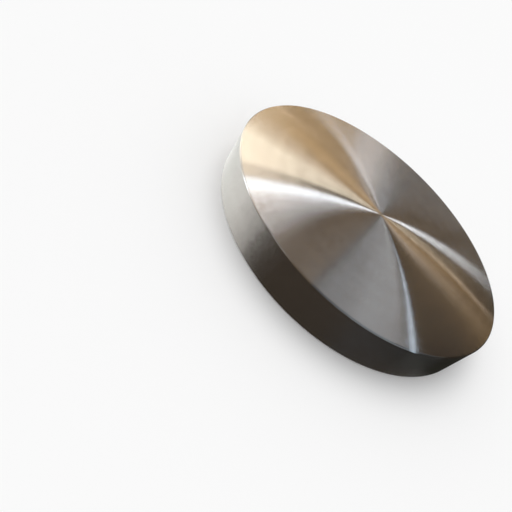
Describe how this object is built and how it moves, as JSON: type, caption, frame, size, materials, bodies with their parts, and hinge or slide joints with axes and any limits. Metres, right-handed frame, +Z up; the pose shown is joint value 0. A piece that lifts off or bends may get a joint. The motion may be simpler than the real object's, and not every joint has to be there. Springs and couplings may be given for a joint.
{
  "type": "titanium disc",
  "caption": "Thick round disc of solid titanium, turned flat on both faces with small edge breaks, used as machining stock.",
  "frame": {"origin": "centre of the bottom face, on the turning axis", "axes": "+Z up along the turning axis, from the bottom face to the top face"},
  "size_m": [0.32, 0.32, 0.04],
  "materials": {
    "turned_titanium": "bare titanium, finely turned, with concentric tool lines on the faces and around the rim"
  },
  "bodies": {
    "root": {"titanium_disc": "turned_titanium"}
  },
  "joints": []
}
